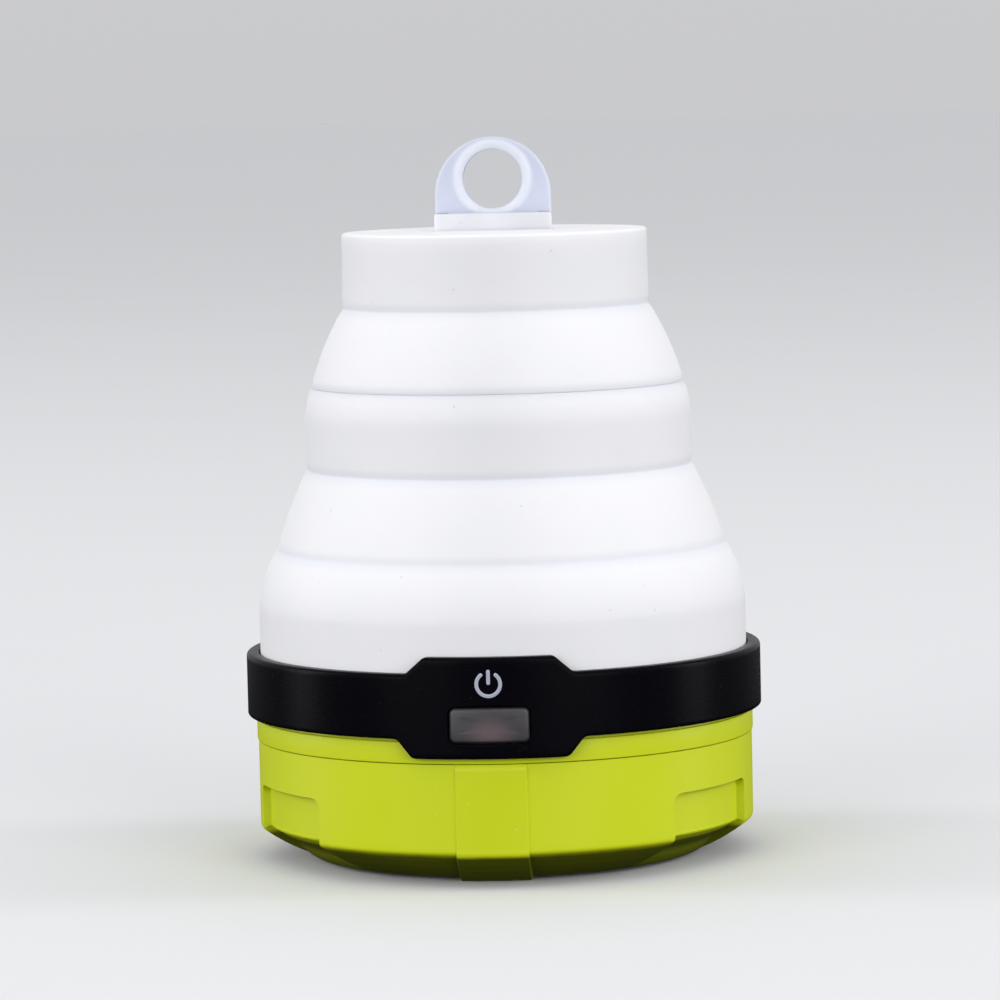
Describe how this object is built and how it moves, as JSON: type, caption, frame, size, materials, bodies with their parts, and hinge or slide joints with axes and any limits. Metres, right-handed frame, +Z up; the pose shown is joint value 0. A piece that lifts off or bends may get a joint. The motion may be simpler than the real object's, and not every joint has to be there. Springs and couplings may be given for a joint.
{
  "type": "camping lantern",
  "caption": "Collapsible camping lantern with a stepped silicone shade, a black control band, a twist-off battery cover and a folding hang tab.",
  "frame": {"origin": "on the floor under the lantern's axis", "axes": "+Z up along the axis, the button faces -Y, +X to the right seen from the front"},
  "size_m": [0.088, 0.088, 0.1231],
  "materials": {
    "green_shell": "moulded lime-green ABS, fine satin grain",
    "band_black": "glossy black",
    "button_grey": "translucent grey elastomer",
    "silicone_white": "translucent white silicone, matt",
    "tab_clear": "frosted translucent",
    "steel": "zinc plated",
    "board_green": "circuit board",
    "plastic_dark": "satin",
    "plastic_white": "white reflector plastic",
    "cell_jacket": "plain printed jacket",
    "led_phosphor": "phosphor gel",
    "seal_rubber": "nitrile",
    "lead_red": "PVC insulation"
  },
  "bodies": {
    "lamp": {"housing": "green_shell", "band": "band_black", "shade_lower_tier": "silicone_white", "shade_lower_fold": "silicone_white", "light_board": "steel", "tray_screw_1": "steel", "tray_screw_2": "steel", "tray_screw_3": "steel", "board_screw_1": "steel", "board_screw_2": "steel", "clamp_screw_1": "steel", "clamp_screw_2": "steel", "clamp_screw_3": "steel", "contact_plate_1": "steel", "contact_plate_2": "steel", "contact_plate_3": "steel", "contact_spring_1": "steel", "contact_spring_2": "steel", "contact_spring_3": "steel", "control_board": "board_green", "battery_tray": "plastic_dark", "tact_switch": "plastic_dark", "reflector": "plastic_white", "shade_clamp_ring": "plastic_white", "cell_1": "cell_jacket", "cell_2": "cell_jacket", "cell_3": "cell_jacket", "led_1": "led_phosphor", "led_2": "led_phosphor", "led_3": "led_phosphor", "led_4": "led_phosphor", "cover_seal": "seal_rubber", "lead_negative": "seal_rubber", "lead_positive": "lead_red"},
    "cover": {"battery_cover": "green_shell"},
    "button": {"power_button": "button_grey", "switch_plunger": "plastic_dark"},
    "shade_middle": {"shade_middle_tier": "silicone_white", "shade_upper_fold": "silicone_white"},
    "shade_upper": {"shade_top": "silicone_white", "tab_pin": "steel"},
    "tab": {"hang_tab": "tab_clear"}
  },
  "joints": [
    {"name": "cover_twist", "type": "hinge", "parent": "lamp", "child": "cover", "pos_m": [0, 0, 0.0102], "axis": [0, 0, 1], "range_deg": [0, 20]},
    {"name": "button_press", "type": "slide", "parent": "lamp", "child": "button", "axis": [0, 1, 0], "range_m": [0, 0.0006], "stiffness_N_per_m": 1500},
    {"name": "lower_fold_slide", "type": "slide", "parent": "lamp", "child": "shade_middle", "axis": [0, 0, -1], "range_m": [0, 0.0282], "deforming": ["shade_lower_fold"]},
    {"name": "upper_fold_slide", "type": "slide", "parent": "shade_middle", "child": "shade_upper", "axis": [0, 0, -1], "range_m": [0, 0.0276], "deforming": ["shade_upper_fold"]},
    {"name": "tab_fold", "type": "hinge", "parent": "shade_upper", "child": "tab", "pos_m": [0, 0, 0.1083], "axis": [-1, 0, 0], "range_deg": [0, 90]}
  ]
}
